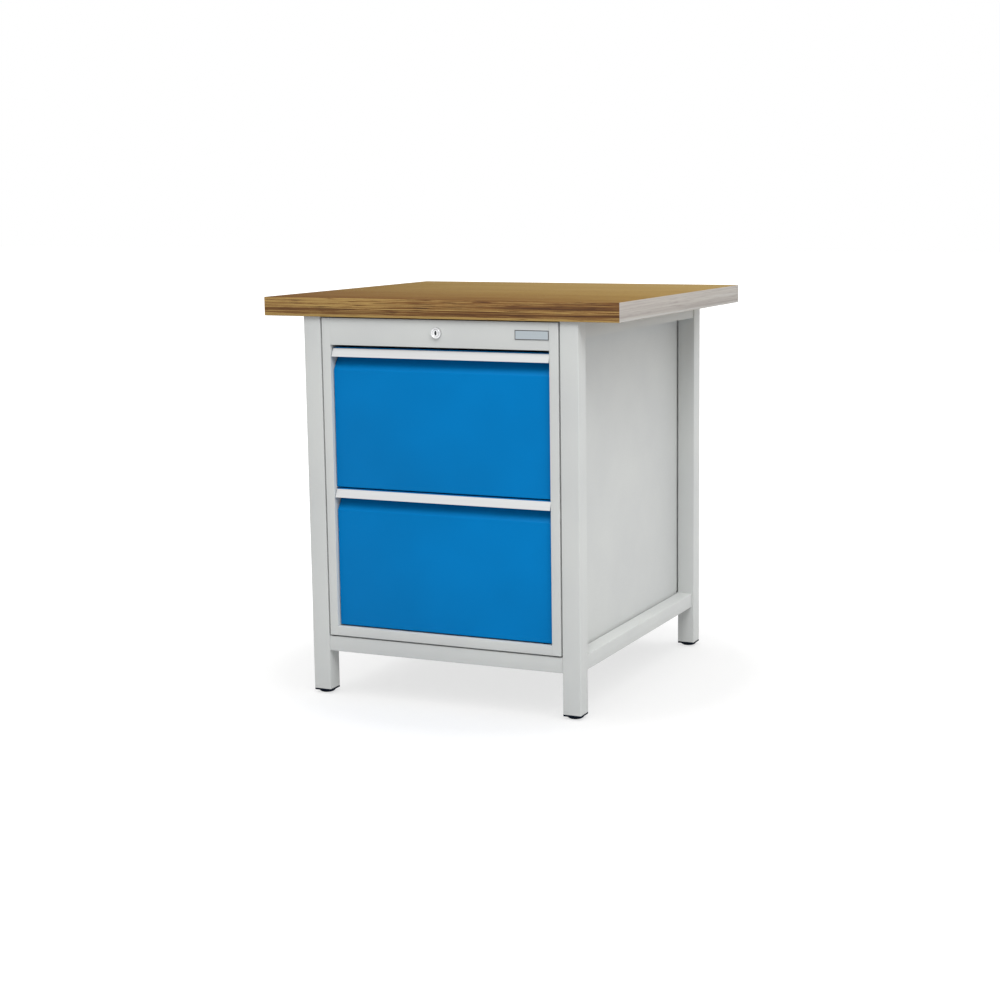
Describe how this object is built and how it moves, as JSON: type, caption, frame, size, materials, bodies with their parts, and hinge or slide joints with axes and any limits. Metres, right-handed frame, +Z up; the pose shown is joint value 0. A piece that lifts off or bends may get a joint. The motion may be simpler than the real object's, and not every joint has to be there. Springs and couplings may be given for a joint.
{
  "type": "workbench",
  "caption": "Free-standing workshop bench: thick plywood worktop on a square-tube steel frame, with a lockable steel cabinet of deep sliding drawers between the legs.",
  "frame": {"origin": "on the floor under the middle of the worktop", "axes": "+Z up, +X to the right when facing the drawers, -Y towards the person who opens the drawers"},
  "size_m": [0.82, 0.75, 0.865],
  "materials": {
    "beech_plywood": "oiled",
    "grey_powder_coat": "satin powder coat",
    "blue_powder_coat": "satin powder coat",
    "anodised_aluminium": "satin anodised",
    "label_aluminium": "matt, bare",
    "black_plastic": "moulded",
    "nickel_plate": "satin nickel",
    "zinc_plate": "zinc plated"
  },
  "bodies": {
    "bench": {"worktop": "beech_plywood", "leg_front_left": "grey_powder_coat", "leg_front_right": "grey_powder_coat", "leg_rear_left": "grey_powder_coat", "leg_rear_right": "grey_powder_coat", "foot_front_left": "black_plastic", "foot_front_right": "black_plastic", "foot_rear_left": "black_plastic", "foot_rear_right": "black_plastic", "front_rail": "grey_powder_coat", "rear_rail": "grey_powder_coat", "side_rail_left": "grey_powder_coat", "side_rail_right": "grey_powder_coat", "top_angle_left": "grey_powder_coat", "top_angle_right": "grey_powder_coat", "worktop_screw_front_left": "zinc_plate", "worktop_screw_front_right": "zinc_plate", "worktop_screw_rear_left": "zinc_plate", "worktop_screw_rear_right": "zinc_plate", "cabinet_bottom": "grey_powder_coat", "cabinet_top": "grey_powder_coat", "cabinet_back": "grey_powder_coat", "lock_fascia": "grey_powder_coat", "lower_front_strip": "grey_powder_coat", "cabinet_side_left": "grey_powder_coat", "cabinet_side_right": "grey_powder_coat", "cabinet_bolt_front_left_1": "zinc_plate", "cabinet_bolt_front_left_2": "zinc_plate", "cabinet_bolt_front_right_1": "zinc_plate", "cabinet_bolt_front_right_2": "zinc_plate", "cabinet_bolt_rear_left_1": "zinc_plate", "cabinet_bolt_rear_left_2": "zinc_plate", "cabinet_bolt_rear_right_1": "zinc_plate", "cabinet_bolt_rear_right_2": "zinc_plate", "label_plate": "label_aluminium", "lock_housing": "nickel_plate", "lock_nut": "zinc_plate", "lower_runner_cabinet_left": "zinc_plate", "lower_runner_cabinet_right": "zinc_plate", "upper_runner_cabinet_left": "zinc_plate", "upper_runner_cabinet_right": "zinc_plate"},
    "lower_drawer": {"lower_drawer_front": "blue_powder_coat", "lower_grip_strip": "anodised_aluminium", "lower_tray": "grey_powder_coat", "lower_tray_back": "grey_powder_coat", "lower_runner_tray_left": "zinc_plate", "lower_runner_tray_right": "zinc_plate"},
    "lower_middle_runners": {"lower_runner_middle_left": "zinc_plate", "lower_runner_middle_right": "zinc_plate"},
    "upper_drawer": {"upper_drawer_front": "blue_powder_coat", "upper_grip_strip": "anodised_aluminium", "upper_tray": "grey_powder_coat", "upper_tray_back": "grey_powder_coat", "upper_runner_tray_left": "zinc_plate", "upper_runner_tray_right": "zinc_plate"},
    "upper_middle_runners": {"upper_runner_middle_left": "zinc_plate", "upper_runner_middle_right": "zinc_plate"},
    "lock_barrel": {"lock_plug": "nickel_plate", "lock_rod": "zinc_plate"},
    "locking_bar": {"lock_bar": "zinc_plate"}
  },
  "joints": [
    {"name": "lower_drawer_slide", "type": "slide", "parent": "bench", "child": "lower_drawer", "axis": [0, -1, 0], "range_m": [0, 0.58]},
    {"name": "upper_drawer_slide", "type": "slide", "parent": "bench", "child": "upper_drawer", "axis": [0, -1, 0], "range_m": [0, 0.58]},
    {"name": "lower_middle_runner_slide", "type": "slide", "parent": "bench", "child": "lower_middle_runners", "axis": [0, -1, 0], "range_m": [0, 0.29]},
    {"name": "upper_middle_runner_slide", "type": "slide", "parent": "bench", "child": "upper_middle_runners", "axis": [0, -1, 0], "range_m": [0, 0.29]},
    {"name": "lock_turn", "type": "hinge", "parent": "bench", "child": "lock_barrel", "pos_m": [0, -0.368, 0.796], "axis": [0, -1, 0], "range_deg": [0, 90]},
    {"name": "locking_bar_lift", "type": "slide", "parent": "bench", "child": "locking_bar", "axis": [0, 0, 1], "range_m": [0, 0.01414]}
  ],
  "couplings": [
    {"joint": "lower_middle_runner_slide", "follows": "lower_drawer_slide", "ratio": 0.5},
    {"joint": "upper_middle_runner_slide", "follows": "upper_drawer_slide", "ratio": 0.5},
    {"joint": "lock_turn", "follows": "locking_bar_lift", "rad_per_m": 111.07}
  ]
}
